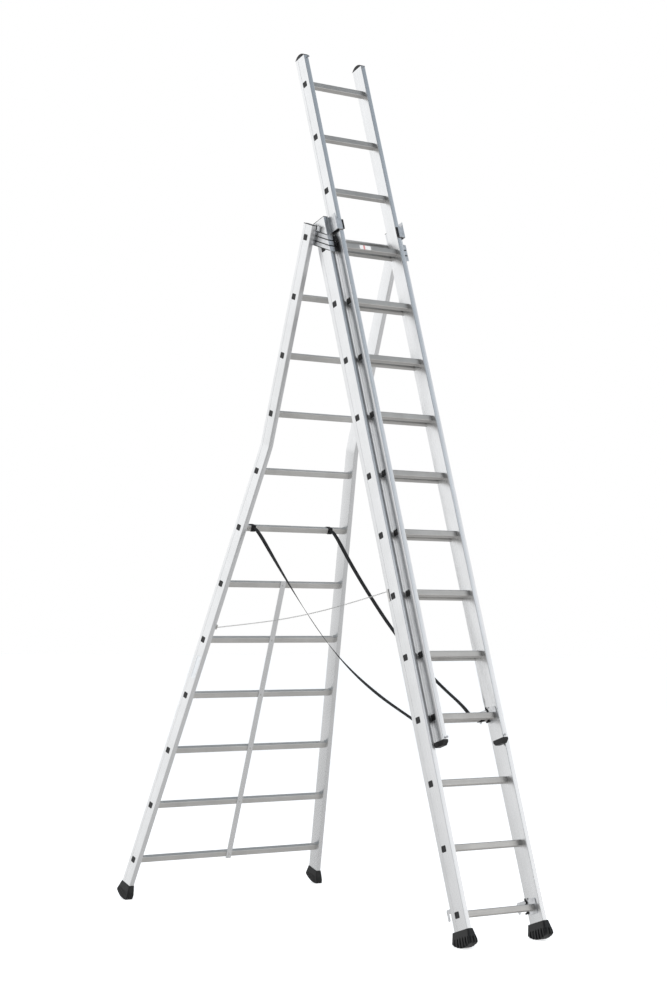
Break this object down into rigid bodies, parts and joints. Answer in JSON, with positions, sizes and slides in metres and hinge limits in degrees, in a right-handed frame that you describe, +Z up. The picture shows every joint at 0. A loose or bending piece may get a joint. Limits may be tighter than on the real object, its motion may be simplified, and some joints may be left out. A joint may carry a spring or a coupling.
{
  "type": "combination ladder",
  "caption": "Three-section aluminium ladder standing as a step ladder, with a flared rear section and its narrow top section run out above the hinge.",
  "frame": {"origin": "on the ground, in the middle of the box round the standing ladder", "axes": "+X across the rungs to the user's right, +Y from the front section towards the flared rear section, +Z up"},
  "size_m": [1.1794, 2.2212, 4.0199],
  "materials": {
    "stile_aluminium": "extruded, satin",
    "rung_aluminium": "ribbed extrusion, satin",
    "steel": "zinc plated",
    "black_plastic": "moulded, matt",
    "rubber": "moulded, matt",
    "webbing": "woven polyester webbing"
  },
  "bodies": {
    "rear_section": {"rear_stile_left": "stile_aluminium", "rear_stile_right": "stile_aluminium", "rear_rung_01": "rung_aluminium", "rear_rung_02": "rung_aluminium", "rear_rung_03": "rung_aluminium", "rear_rung_04": "rung_aluminium", "rear_rung_05": "rung_aluminium", "rear_rung_06": "rung_aluminium", "rear_rung_07": "rung_aluminium", "rear_rung_08": "rung_aluminium", "rear_upper_rungs": "rung_aluminium", "rear_rung_plugs": "black_plastic", "rear_foot_left": "rubber", "rear_foot_right": "rubber", "rear_top_caps": "black_plastic", "swivel_bracket_left": "stile_aluminium", "swivel_bracket_right": "stile_aluminium", "bracket_rivets": "steel", "hinge_pins": "steel", "centre_strut": "stile_aluminium", "strut_rivets": "steel", "rear_strap_loops": "webbing", "chain_eye": "steel", "strap_left": "webbing", "strap_right": "webbing", "chain": "steel"},
    "front_section": {"front_stile_left": "stile_aluminium", "front_stile_right": "stile_aluminium", "front_rungs": "rung_aluminium", "front_rung_plugs": "black_plastic", "front_foot_left": "rubber", "front_foot_right": "rubber", "front_top_caps": "black_plastic", "hinge_bushes": "black_plastic", "guide_bracket_left": "stile_aluminium", "guide_bracket_right": "stile_aluminium", "guide_rivets": "steel", "guide_shoe_left": "black_plastic", "guide_shoe_right": "black_plastic", "bracket_liners": "black_plastic", "front_hook_left": "steel", "front_hook_right": "steel", "front_strap_loops": "webbing", "chain_hook": "steel"},
    "front_catch_left": {"front_catch_left": "black_plastic"},
    "front_catch_right": {"front_catch_right": "black_plastic"},
    "top_section": {"top_stile_left": "stile_aluminium", "top_stile_right": "stile_aluminium", "top_rungs": "rung_aluminium", "top_rung_plugs": "black_plastic", "top_upper_caps": "black_plastic", "top_lower_caps": "black_plastic", "top_hook_left": "steel", "top_hook_right": "steel", "stop_pins": "steel"},
    "top_catch_left": {"top_catch_left": "black_plastic"},
    "top_catch_right": {"top_catch_right": "black_plastic"}
  },
  "joints": [
    {"name": "fold", "type": "hinge", "parent": "rear_section", "child": "front_section", "pos_m": [0, -0.00686, 3.11516], "axis": [1, 0, 0], "range_deg": [0, 36.5], "deforming": ["strap_left", "strap_right", "chain"]},
    {"name": "top_slide", "type": "slide", "parent": "front_section", "child": "top_section", "axis": [0, 0.3148, 0.9492], "range_m": [-0.84, 1.4]},
    {"name": "front_catch_left_swing", "type": "hinge", "parent": "front_section", "child": "front_catch_left", "pos_m": [-0.19, -0.97803, 0.14908], "axis": [-1, 0, 0], "range_deg": [0, 15]},
    {"name": "front_catch_right_swing", "type": "hinge", "parent": "front_section", "child": "front_catch_right", "pos_m": [0.19, -0.97803, 0.14908], "axis": [-1, 0, 0], "range_deg": [0, 15]},
    {"name": "top_catch_left_swing", "type": "hinge", "parent": "top_section", "child": "top_catch_left", "pos_m": [-0.15, -0.76562, 0.95942], "axis": [-1, 0, 0], "range_deg": [0, 15]},
    {"name": "top_catch_right_swing", "type": "hinge", "parent": "top_section", "child": "top_catch_right", "pos_m": [0.15, -0.76562, 0.95942], "axis": [-1, 0, 0], "range_deg": [0, 15]}
  ]
}
